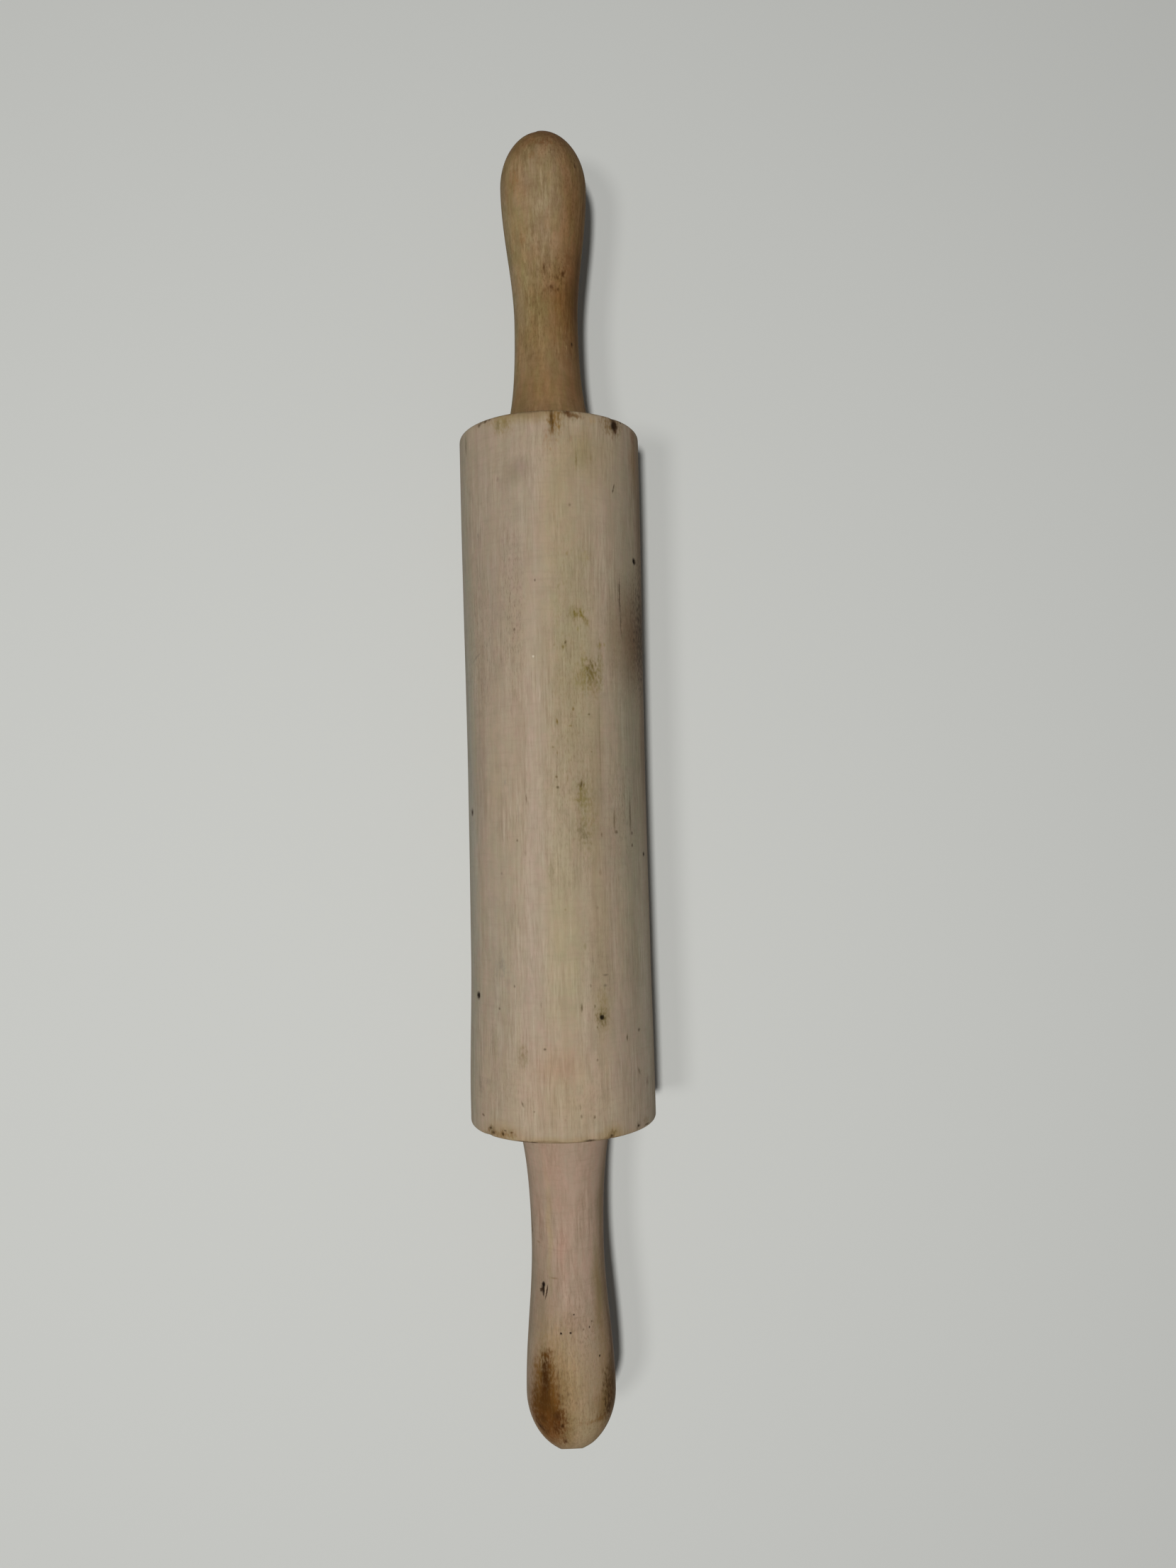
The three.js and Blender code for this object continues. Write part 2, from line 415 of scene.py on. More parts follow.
# rows: along, degrees round from the top, length, width, tilt in degrees, colour, strength, depth if any
barrelTints = [
    # painted sheen and shade of the grazing light: a grey-green band down the left side
    (0, -74, 320, 20, 0, "#8f8e80", 0.72),
    (60, -42, 140, 24, 0, "#928371", 0.6),
    (-55, -43, 110, 18, 0, "#968a7a", 0.35),
    (80, -20, 90, 14, 0, "#968573", 0.5),
    (-60, -22, 110, 16, 0, "#a6947f", 0.6),
    (-10, -13, 210, 8, 0, "#a69580", 0.5),
    (35, 12, 130, 19, 0, "#938564", 0.66),
    (-48, 1, 90, 16, 0, "#9f9171", 0.7),
    (-30, 24, 170, 10, 0, "#8c7b5e", 0.6),
    (88, 4, 60, 15, 0, "#9d8a6a", 0.55),
    (-10, 33, 200, 8, 0, "#8f7e69", 0.5),
    (0, 53, 260, 20, 0, "#87816c", 0.7),
    (-85, 40, 60, 16, 0, "#978674", 0.5),
    (0, -58, 60, 14, 0, "#8d7d6c", 0.4),
    (-20, 12, 50, 9, 0, "#8f7f63", 0.35),
    (84, 76, 90, 13, 0, "#655039", 0.55),
    (8, 75, 50, 10, 0, "#6b5843", 0.4),
    # a dark brown patch down the right side, about 45 mm along; its core is the first stain row
    (43, 58, 44, 27, 0, "#6f5741", 0.85),
    (43, 40, 24, 7, 0, "#87775a", 0.4),
    (-92, -4, 36, 46, 0, "#a8917a", 0.5),
    (-89, -2, 14, 18, 0, "#9d8067", 0.65),
    (-110, -40, 7, 22, 0, "#957b55", 0.6),
    (-110.5, 30, 6, 9, 0, "#8d7548", 0.6),
    (94, -22, 11, 9, 0, "#80705a", 0.6),
    (96, -18, 7, 6, 0, "#8b7468", 0.4),
    (100, 19, 16, 9, 0, "#857349", 0.55),
    (102, 66, 26, 9, 0, "#7d5d38", 0.5),
    (111, -10, 6, 44, 0, "#8b764b", 0.5),
    (-66, 68, 130, 17, 0, "#ada28d", 0.65),
    (-112, 0, 4, 90, 0, "#917851", 0.5),
    (-112.6, 0, 1.4, 130, 0, "#6f5838", 0.6),
    (-100, 0, 34, 32, 0, "#a08c6c", 0.4),
    (112, -8, 4, 44, 0, "#7f6742", 0.45),
    (112.6, 0, 1.4, 130, 0, "#6b5436", 0.6),
    (100, 24, 30, 24, 0, "#94835f", 0.45),
    (0, 150, 190, 30, 0, "#8f7e68", 0.4),
    (-30, -140, 120, 22, 0, "#a39176", 0.4),
    (62, -110, 26, 14, 0, "#7a674a", 0.5),
]
barrelFleckZones = [
    (48, 11, 80, 22, 0, "#75653c", 0.32),
    (8, 10, 70, 20, 0, "#756540", 0.3),
    (52, -25, 76, 11, 0, "#6f5d4a", 0.5),
    (40, -54, 66, 24, 0, "#6f6150", 0.42),
    (-16, 4, 70, 24, 0, "#7f6f54", 0.3),
    (-14, 44, 50, 22, 0, "#665944", 0.36),
    (-66, 22, 60, 18, 0, "#786852", 0.32),
    (-60, -38, 60, 20, 0, "#85776a", 0.25),
    (-100, 15, 24, 24, 0, "#7d6b54", 0.35),
    (-96, -40, 26, 30, 0, "#7d6b54", 0.3),
    (100, 0, 24, 60, 0, "#86755c", 0.3),
    (-20, 170, 160, 50, 0, "#7d6d58", 0.5),
]
barrelStains = [
    # the dark core of the brown patch down the right side, about 45 mm along
    (45, 78, 46, 21, 0, "#33271d", 0.9),
    (49.4, 12.6, 4.4, 3.4, 0, "#6f5f22", 0.85),
    (49.8, 16.6, 3.8, 3, 0, "#6f5f22", 0.8),
    (47.6, 19, 6, 2.6, -27, "#6e5e26", 0.8),
    (31.6, 22, 8.6, 5.4, 0, "#584912", 1),
    (33, 17.5, 15, 2.4, 0, "#7f6f40", 0.6),
    (33, 29, 17, 2.4, 0, "#77683c", 0.6),
    (29, 16, 10, 6, 0, "#7f6f42", 0.65),
    (28, 24, 10, 6, 0, "#78683c", 0.7),
    (39.5, 28.5, 2.4, 2, 0, "#7d6d3c", 0.6),
    (39.6, 6, 3, 1.6, 20, "#75642f", 0.6),
    (67, 20, 5, 4, 0, "#8d7d52", 0.5),
    (-3.6, 14.6, 4, 2.6, 0, "#544415", 0.92),
    (-7, 15, 8, 3.4, 0, "#6f5f2a", 0.8),
    (-8, 16, 1.8, 7, 0, "#786838", 0.6),
    (-13, 17.5, 28, 7, 0, "#7f704a", 0.75),
    (-18, 14, 5.5, 3.6, 0, "#6d6044", 0.65),
    (-19.8, 16.6, 4, 3, 0, "#6d6044", 0.6),
    (-29.5, -4.6, 8, 3, 0, "#7a6d4e", 0.55),
    (-73, 24.4, 16, 5, 0, "#7f6e46", 0.7),
    (-75, 24, 5, 5, 0, "#54441c", 0.8),
    (-86, -24.5, 9, 4, 0, "#7a6a48", 0.75),
    (-82, -46, 11, 4, 0, "#84725d", 0.55),
    (-59, -39, 7, 5, 0, "#7d7366", 0.55),
    (-97, -60, 6, 3.6, 0, "#6d604c", 0.5),
    (-95.6, -52, 3, 3, 0, "#75685a", 0.4),
    (-98, 62.5, 4, 2.4, 0, "#625440", 0.6),
    (-110.2, -49, 3.6, 4, 0, "#5a4524", 0.85),
    (-110.4, -39.5, 3, 3, 0, "#604826", 0.8),
    (-110.4, -33.5, 2.6, 4, 0, "#75542a", 0.75),
    (-111, -43, 2, 12, 0, "#7a5c33", 0.7),
    (-110.8, 28.6, 3, 3.6, 0, "#5d4a23", 0.8),
    (-110.6, 50.3, 2.8, 2.8, 0, "#45341c", 0.85),
    (-110, 59, 3, 4, 0, "#6b5a34", 0.6),
    (111.8, -41, 1.6, 7, 0, "#45331c", 0.85),
    (110.4, 42, 9, 10, 0, "#6d5128", 0.95),
    (109, 3.4, 11, 5.4, 0, "#7a5c2b", 1),
    (103, -1, 9, 3, 0, "#937559", 0.45),
    (111, 14, 3.2, 8, 0, "#6a4a2a", 0.75),
    (109, 65.5, 6, 4.5, 0, "#6f4a36", 0.6),
    (110, 27, 2.6, 3, 0, "#96774a", 0.5),
    (109.8, -7, 5, 2, 0, "#857150", 0.6),
    (109.6, -29.5, 8, 8, 0, "#826c40", 0.75),
]
barrelMarks = [
    (110, 44, 4.2, 3.6, 0, "#281909", 0.97, 0.25),
    (108, 44.8, 1.8, 1.8, 0, "#43290f", 0.75),
    (110.2, 1.7, 8, 1.3, 0, "#4f350e", 0.85),
    (105.8, 1.8, 2.4, 1.6, 0, "#6b4a22", 0.7),
    (107.6, 2.4, 3, 1.5, 0, "#5a3d14", 0.7),
    (110, 5.6, 4.4, 0.9, 0, "#64491c", 0.65),
    (111.6, 11, 1.7, 3.8, 0, "#50341a", 0.85),
    (110.6, 12.4, 1.8, 1.6, 0, "#54381f", 0.75),
    (110.8, 15.6, 4.8, 1.4, 100, "#60421f", 0.7),
    (104, -2, 2.4, 1, 0, "#8d6d4e", 0.5),
    (100.2, 0.6, 1.6, 0.7, 0, "#8a6a4a", 0.6),
    (103.6, 13, 2.6, 1, 0, "#8a6b52", 0.5),
    (107.4, -64.2, 8, 1.8, 0, "#6b614c", 0.65),
    (109.2, -32.2, 4, 1.6, 0, "#6f5f40", 0.6),
    (109.6, -27, 4, 2.4, 0, "#7d6c48", 0.5),
    (111.2, -47.6, 1.6, 1.8, 0, "#4a3820", 0.75),
    (111.8, 50.3, 0.9, 1.2, 0, "#2d1d0e", 0.85),
    (92.5, -33.4, 2, 1, 0, "#7a6656", 0.5),
    (97, 16, 6, 0.9, 0, "#75653f", 0.7),
    (98, 25.5, 3, 1, 0, "#85744f", 0.5),
    (90.4, 42.3, 2.2, 0.7, 15, "#3d2c1a", 0.75),
    (89, 41.4, 1.6, 0.7, 15, "#3d2c1a", 0.75),
    (82.9, 11.3, 1.3, 1, 0, "#64543a", 0.55),
    (68.6, 63.4, 2.4, 2.9, 0, "#1a1006", 0.98, 0.3),
    (67.8, 9, 1.6, 0.8, 0, "#857348", 0.6),
    (76.6, -51.4, 1.8, 1, 0, "#75695a", 0.5),
    (59.8, -10.4, 1, 0.6, 0, "#5a4a3a", 0.85),
    (57.5, 3.2, 1.6, 0.6, 0, "#7d6d48", 0.6),
    (56, 45.6, 12, 0.6, 0, "#45382a", 0.85, 0.25),
    (47, 46.4, 9, 0.6, -1, "#54432f", 0.6, 0.2),
    (45.1, -24.2, 1.2, 0.9, 0, "#5f4e3e", 0.85),
    (51.8, -56.8, 3.4, 0.9, -20, "#75695a", 0.5),
    (40.3, 6.8, 1.6, 0.9, 20, "#4d3d18", 0.75),
    (39, 5.2, 1.4, 0.9, 0, "#6f5d30", 0.75),
    (39.6, 0, 1, 0.7, 0, "#857350", 0.6),
    (40, 32, 1.2, 0.9, 0, "#857448", 0.6),
    (44.6, 14.6, 2, 0.8, 0, "#857548", 0.6),
    (38, -57, 7, 0.9, 65, "#75695a", 0.5),
    (36.3, -12.6, 0.8, 0.8, 0, "#d0c4ae", 0.8),
    (19.8, 10.6, 1.6, 0.8, 0, "#6f5c30", 0.8),
    (18.2, 20.6, 0.9, 0.9, 0, "#54451f", 0.7),
    (16, 0.8, 2.2, 0.7, -6, "#6b5520", 0.9),
    (14.6, 8.8, 0.7, 1.6, 0, "#7a6638", 0.65),
    (8.3, -2, 0.9, 0.8, 0, "#75623f", 0.7),
    (6.4, 0.5, 1.8, 0.6, 0, "#75643f", 0.65),
    (6.6, 21.6, 0.7, 0.9, 0, "#75653f", 0.6),
    (-0.9, -0.4, 1, 1, 0, "#645230", 0.8),
    (-4.2, 0.3, 1, 1.2, 0, "#4f3f24", 0.75),
    (-1.6, 6.2, 2.4, 0.6, 0, "#80704a", 0.6),
    (-7.4, -19.2, 3.4, 0.6, 0, "#6b5a44", 0.8),
    (-3.4, 14.6, 1.9, 1, 0, "#4a3c12", 0.9),
    (-2.2, -33.4, 1.8, 1.1, 0, "#85786a", 0.5),
    (-11.2, -69.6, 2.8, 2.6, 0, "#2d2015", 0.92),
    (8, 27.4, 40, 0.6, 0, "#7b6c50", 0.55),
    (-19, 27, 1.6, 0.8, 0, "#645238", 0.7),
    (-18.4, 38, 1.3, 1.6, 0, "#54462f", 0.7),
    (-14.6, 36.6, 8, 0.9, 0, "#6b5c44", 0.7),
    (-19, 52.4, 1.4, 1.2, 0, "#54483a", 0.75),
    (-22.8, 52.4, 1.4, 1.2, 0, "#4a3e2e", 0.75),
    (-13, 51, 14, 1.1, 0, "#584b39", 0.75),
    (-26, 68.4, 1.8, 2.2, 0, "#2a1d12", 0.92),
    (-20.2, -25.6, 1, 0.8, 0, "#645540", 0.65),
    (-12, -24.4, 9, 0.5, 0, "#80705c", 0.5),
    (-24, -20.4, 2.2, 0.8, 0, "#80705a", 0.55),
    (-30.6, 25.4, 2.6, 1.1, 0, "#7d6b50", 0.6),
    (-30.4, -37.4, 1.2, 0.9, 0, "#7d6e5e", 0.6),
    (-41.4, 23, 1.2, 0.8, 0, "#7a6850", 0.6),
    (-41.6, 3, 0.8, 0.8, 0, "#857454", 0.6),
    (-53, 14.4, 2.8, 1.1, 0, "#80704f", 0.55),
    (-57.6, 19, 4, 0.8, 0, "#85745c", 0.5),
    (-62.2, 27.2, 0.9, 2.2, 0, "#6b5e4a", 0.7),
    (-65.4, 26.8, 1.2, 1.6, 10, "#6b5e4a", 0.65),
    (-65.1, 17.3, 1.2, 0.8, 0, "#6b5c44", 0.7),
    (-65, -29.4, 1.1, 0.8, 0, "#665644", 0.75),
    (-69.4, -63.1, 2.7, 2.7, 0, "#160d06", 0.98, 0.3),
    (-75, 23.9, 1.8, 1.7, 0, "#191106", 0.98, 0.3),
    (-71.6, 11.4, 2.8, 0.8, 0, "#5f5236", 0.8),
    (-71.4, 19.6, 1.3, 0.8, 0, "#66563a", 0.75),
    (-78, 20.8, 0.8, 0.6, 0, "#5f4e34", 0.7),
    (-82.4, 42, 2.4, 0.8, 0, "#4f412c", 0.85),
    (-81, 53.6, 1.4, 1.6, 0, "#544836", 0.75),
    (-83.8, -11, 1, 1, 0, "#524430", 0.75),
    (-87.8, 20.2, 1.1, 0.7, 0, "#6b5a44", 0.7),
    (-72.2, -41, 1, 1, 0, "#5f5240", 0.75),
    (-70.6, -12.6, 2.4, 0.6, 0, "#80705a", 0.55),
    (-100.8, -25.4, 2.2, 0.9, -25, "#5f4e36", 0.7),
    (-102.8, -18.2, 0.8, 0.7, 0, "#6b5a42", 0.7),
    (-106.4, -57.4, 1.1, 1.8, 8, "#4a3826", 0.75),
    (-104.4, 9.7, 1.6, 0.8, 0, "#64523a", 0.65),
    (-101.6, 9.2, 3, 0.6, 0, "#7a6a50", 0.6),
    (-105, 17.6, 1.4, 0.9, 0, "#5a4830", 0.7),
    (-105.2, 0.2, 1, 0.7, 0, "#85735a", 0.6),
    (-93.8, 52.4, 3.2, 1.1, -30, "#655640", 0.6),
    (-110.9, -47.5, 1.5, 1.8, 0, "#3d2c14", 0.8),
    (-109.7, -50, 0.9, 1.6, 0, "#3d2c14", 0.85),
    (-110.7, -39.6, 1.3, 1.2, 0, "#362510", 0.85),
    (-109.5, -38, 0.7, 1.1, 0, "#4a3820", 0.8),
    (-109.8, -33.4, 0.8, 1.4, 0, "#523416", 0.8),
    (-111.4, 28.4, 1.4, 1.6, 0, "#3a2b14", 0.85),
    (-111.9, 15, 0.9, 5, 0, "#33241a", 0.85),
    (-110.6, 50.2, 1, 1.6, 0, "#2d200f", 0.9),
    (-111.4, 60, 0.7, 4, 0, "#3d2e18", 0.8),
    (-112.2, -19, 0.8, 3, 0, "#33251a", 0.8),
    (-112.2, -26, 0.8, 6, 0, "#4f3d2c", 0.7),
    (-112.2, -53, 2.4, 6, 0, "#87745a", 0.35, 0.4),
    (-112.2, 29, 1.8, 3, 0, "#6b5638", 0.4, 0.3),
    (112.2, 43.5, 1.8, 4, 0, "#4a341c", 0.5, 0.3),
    (112.2, -120, 2.2, 6, 0, "#77623f", 0.5, 0.4),
    (-112.2, 134, 2.2, 5, 0, "#77623f", 0.5, 0.4),
    (24, 128, 9, 3, 4, "#3a2814", 0.85, 0.5),
    (-58, 171, 20, 0.8, 2, "#4a3826", 0.7, 0.3),
    (70, -165, 3, 1.4, 0, "#453020", 0.8, 0.2),
    (-90, -120, 5, 2.4, -6, "#382612", 0.85, 0.5),
    (-104, 118, 12, 0.9, 0, "#4a3826", 0.7, 0.3),
]
barrelWood = {
    "base": "#9e8c74",
    "figure": [  # across and along in mm, detail, threshold, tint, strength
        (14, 120, 3, 0.4, 0.64, "#a38f7e", 0.5),
        (10, 90, 3, 0.44, 0.66, "#978b6f", 0.5),
        (4, 60, 3, 0.4, 0.66, "#8e7e69", 0.34),
        (2.2, 40, 3, 0.42, 0.66, "#b0a18c", 0.26),
        (5, 7, 4, 0.42, 0.7, "#8c7c69", 0.36),
        (1.7, 3, 3, 0.42, 0.68, "#8f7e6a", 0.26),
        (3.2, 6, 3, 0.44, 0.62, "#a78a7d", 0.2),
        (2.7, 5, 3, 0.44, 0.62, "#928e75", 0.2),
        (9, 1.1, 3, 0.46, 0.74, "#8a7a66", 0.24),
        (1.2, 24, 3, 0.4, 0.7, "#857460", 0.34),
        (0.7, 14, 3, 0.4, 0.7, "#b3a590", 0.34),
        (0.5, 6, 2, 0.42, 0.74, "#75644e", 0.36),  # pores are finer than this and wouldn't show
    ],
    "fleckSize": (0.45, 1.5),
    "pith": (38, 24),
    "ringWidth": 2.6,
    "rings": (0.08, 0.45),
    "ringTint": "#7e6b53",
    "endTint": "#8a7256",
    "tints": barrelTints,
    "fleckZones": barrelFleckZones,
    "stains": barrelStains,
    "marks": barrelMarks,
    "roughness": (0.76, 0.92),
    "specular": 0.07,
}


def makeBarrel():
    shape = barrelShape
    end, radius, rim, mouth = shape["end"], shape["radius"], shape["rimRound"], shape["mouth"]
    bore, step, rimStep = shape["boreRadius"], shape["step"], shape["rimStep"]
    band = end - rim - shape["endBand"]
    profile = [(bore + mouth, -end)]
    lineTo(profile, (radius - rim, -end), 2 * step)
    sweepTo(profile, (radius, -end), (radius, rim - end), rimStep)
    lineTo(profile, (radius, -band), step)
    easeTo(profile, (radius - shape["hollow"], 0), step)
    easeTo(profile, (radius, band), step)
    lineTo(profile, (radius, end - rim), step)
    sweepTo(profile, (radius, end), (radius - rim, end), rimStep)
    lineTo(profile, (bore + mouth, end), 2 * step)
    profile += [(bore, end - mouth), (bore, mouth - end), (bore + mouth, -end)]
    bm = turnOnLathe(profile, barrelPlace, shape["sides"])
    dents = [row for row in barrelMarks if len(row) > 7]
    wearSkin(bm, barrelPlace, barrelWear, dents)
    material = turnedWood("bare turned hardwood", barrelWood, barrelPlace)
    finishPiece(bm, "barrel_turned", material, "barrel", "barrel")


makeBarrel()


# handles: profile from the bottom of the socket, out over the shoulder to the tip
socketShape = {"radius": 6.2, "depth": 48, "mouth": 1, "shoulderRound": 0.8, "shoulderStep": 0.3}
partingCut = {"from": 3, "over": 2.4, "sideOver": 1.6}  # mm back from the tip, and across it


def makeHandle(name, shape, place, wear, wood, node):
    neck, waist, bulb = shape["neckRadius"], shape["waistRadius"], shape["bulbRadius"]
    socket, mouth, corner = socketShape["radius"], socketShape["mouth"], socketShape["shoulderRound"]
    step, depth, length = shape["step"], socketShape["depth"], shape["length"] - shape["tipCut"]
    profile = [(0, depth), (socket, depth), (socket, mouth), (socket + mouth, 0)]
    lineTo(profile, (neck - corner, 0), 2 * step)
    sweepTo(profile, (neck, 0), (neck, corner), socketShape["shoulderStep"])
    sweepTo(profile, (waist, shape["flareLength"]), (waist, shape["waistAt"]), step)
    easeTo(profile, (bulb, shape["bulbAt"]), step)
    # past the bulb the radius falls as a power of 1 - u * u, and a flat tip cuts it off
    tipU = math.sqrt(1 - (shape["tipRadius"] / bulb) ** (1 / shape["tipTaper"]))
    for i in range(1, shape["tipSteps"] + 1):
        u = tipU * math.sin(i / shape["tipSteps"] * math.pi / 2)
        along = shape["bulbAt"] + u / tipU * (length - shape["bulbAt"])
        profile.append((bulb * (1 - u * u) ** shape["tipTaper"], along))
    lineTo(profile, (0, length), step)
    bm = turnOnLathe(profile, place, shape["sides"])
    dents = [row for row in wood["marks"] if len(row) > 7]
    wearSkin(bm, place, wear, dents)
    chip, cut = shape["tipChip"], shape["tipSlice"]
    tilt = math.radians(cut["tilt"])
    facing = Vector((0, math.cos(tilt) * place["way"], math.sin(tilt)))
    foot = Vector((0, place["zero"], axisHeight))
    # the tip was parted off unevenly, lower on one side, and one was sliced on top
    for vert in bm.verts:
        along = (vert.co.y - place["zero"]) * place["way"] / mm
        side = chip["side"] * vert.co.x / mm
        drop = chip["depth"] * ease((along - length + partingCut["from"]) / partingCut["over"])
        drop *= ease((side - chip["from"]) / partingCut["sideOver"])
        vert.co.y -= place["way"] * drop * mm
        proud = (vert.co - foot).dot(facing) - cut["at"] * mm
        vert.co -= facing * max(proud, 0)
    material = turnedWood(shape["material"], wood, place)
    finishPiece(bm, name, material, "handles", node)


# dark handle: the same kind of wood, browned by hands and oil, with painted shade on the neck by the
# barrel:
# mottled olive and red-brown to the eye, with short dark flecks
darkPlace = {"zero": darkLow.y, "way": 1, "radius": 13, "rimAt": 0}
darkShape = {
    "material": "hand-darkened turned hardwood",
    "length": (darkHigh.y - darkLow.y) / mm,
    "neckRadius": 15.2,
    "flareLength": 10.5,
    "waistRadius": 10.7,
    "waistAt": 39.4,
    "bulbRadius": 14.5,
    "bulbAt": 85,
    "tipRadius": 3.2,
    "tipTaper": 0.52,
    "tipCut": 0.45,
    "tipSteps": 34,
    "tipChip": {"side": -1, "from": 1, "depth": 0.4},
    "tipSlice": {"tilt": 29, "at": 200},  # past the tip, so not cut
    "step": 0.65,
    "sides": 144,
}
handleWear = {
    "skinFrom": 6.6,
    "uneven": 0.16,
    "span": 9,
    "stretch": 0.35,
    "oval": {"from": 30, "over": 40, "left": 0, "right": 0},
}
darkTints = [
    (74, -4, 54, 17, 0, "#937d65", 0.8),
    (58, -46, 84, 12, 0, "#968361", 0.65),
    (50, -74, 120, 8, 0, "#8c816a", 0.6),
    (42, 27, 38, 14, 0, "#764d27", 0.65),
    (40, 46, 52, 8, 0, "#623f1e", 0.65),
    (52, 65, 120, 10, 0, "#67401f", 0.6),
    (74, 42, 40, 9, 0, "#7c5836", 0.6),
    (13, 0, 24, 44, 0, "#785d3d", 0.45),
    (44, 68, 40, 8, 0, "#4a2e17", 0.55),
    (100, 5, 16, 60, 0, "#6f4f31", 0.8),
    (94, 34, 16, 10, 0, "#66492b", 0.35),
    (95, -42, 16, 12, 0, "#7a5a38", 0.5),
    (47, 56, 22, 10, 0, "#553a20", 0.45),
    (31, -34, 26, 8, 0, "#7c6644", 0.35),
    (14, 40, 30, 10, 0, "#6f4f35", 0.5),
    # painted shade: the neck darker where it meets the barrel, which shades it
    (3, 0, 13, 70, 0, "#66523b", 0.5),
    (30, -10, 40, 12, 0, "#7f6a42", 0.4),
    (60, 150, 70, 20, 0, "#5d452b", 0.55),
    (30, -150, 40, 14, 0, "#6b5233", 0.45),
]
darkFleckZones = [
    (50, 0, 130, 60, 0, "#5f4526", 0.18),
    (50, 180, 130, 60, 0, "#5c4526", 0.3),
    (50, -180, 130, 60, 0, "#5c4526", 0.3),
    (50, 20, 18, 15, 0, "#4a2c12", 0.52),
    (92, 20, 22, 20, 0, "#50331a", 0.4),
    (36, -16, 56, 20, 0, "#5f4628", 0.3),
    (78, 44, 52, 14, 0, "#4a2f18", 0.35),
]
darkStains = [
    (82, -42, 9, 5, 0, "#7a5231", 0.6),
    (89, -15.5, 4, 3, 0, "#764d2c", 0.6),
    (95, -12, 5, 6, 0, "#75502f", 0.6),
    (94, 8, 6, 8, 0, "#6b4426", 0.6),
    (97, 28, 6, 7, 0, "#573d26", 0.6),
    (46.6, 10, 2.6, 2.6, 0, "#5a3a1a", 0.8),
    (51.5, 31.5, 4, 2.6, 20, "#4f3316", 0.85),
    (49.8, 22, 3, 2.2, 0, "#5a3c1c", 0.75),
    (46.5, 22, 2.4, 2, 0, "#5a3c1c", 0.7),
    (45.8, -2, 2, 2, 0, "#644628", 0.6),
    (52, -1.5, 4, 1.6, 0, "#5a4023", 0.7),
    (54, 36, 3, 2, 0, "#5a3a1c", 0.7),
    (42, 20, 8, 6, 0, "#6b4a26", 0.5),
    (29.3, 50, 2.6, 2, 0, "#3d2813", 0.8),
    (57, 38, 6, 3, 0, "#65452a", 0.5),
    (63, -35, 5, 4, 0, "#78552f", 0.5),
]
darkMarks = [
    (47, 10.3, 1.9, 1.6, 0, "#4a3018", 0.75),
    (51.6, 31.7, 3, 1.3, 20, "#452c14", 0.75),
    (50, 21.8, 1.6, 1, 0, "#4d341b", 0.75),
    (46.4, 22.4, 1.2, 1, 0, "#4a3018", 0.75),
    (53, -1.8, 2.4, 0.9, 0, "#523a20", 0.7),
    (29.4, 50.2, 1.4, 1.2, 0, "#332110", 0.85),
    (87.5, 48, 2, 1, 0, "#3d2612", 0.75),
    (28.4, 33.5, 2.4, 0.5, 0, "#a58f66", 0.6),
    (27.6, 36.4, 2, 0.5, 0, "#a58f66", 0.5),
    (72, 120, 4, 1.6, 0, "#3d2712", 0.85, 0.3),
]
darkWood = {
    "base": "#82694c",
    "figure": [
        (9, 26, 3, 0.42, 0.62, "#7d6b43", 0.5),
        (7, 18, 3, 0.46, 0.66, "#957553", 0.5),
        (4, 9, 3, 0.44, 0.62, "#8d6a48", 0.35),
        (3.4, 8, 3, 0.44, 0.62, "#786c42", 0.35),
        (3, 7, 4, 0.42, 0.68, "#6d5536", 0.4),
        (6, 1.2, 3, 0.46, 0.72, "#6a5334", 0.26),
        (1.1, 9, 3, 0.42, 0.68, "#a58d6a", 0.36),
        (0.8, 5, 3, 0.42, 0.68, "#644a2c", 0.44),
        (0.5, 2.4, 2, 0.46, 0.72, "#583f24", 0.24),
    ],
    "fleckSize": (0.42, 1.5),
    "pith": (-30, 14),
    "ringWidth": 2.2,
    "rings": (0.12, 0.45),
    "ringTint": "#604a31",
    "endTint": "#5c4229",
    "tints": darkTints,
    "fleckZones": darkFleckZones,
    "stains": darkStains,
    "marks": darkMarks,
    "roughness": (0.66, 0.84),
    "specular": 0.07,
}
makeHandle("dark_handle_turned", darkShape, darkPlace, handleWear, darkWood,
           "dark_handle")

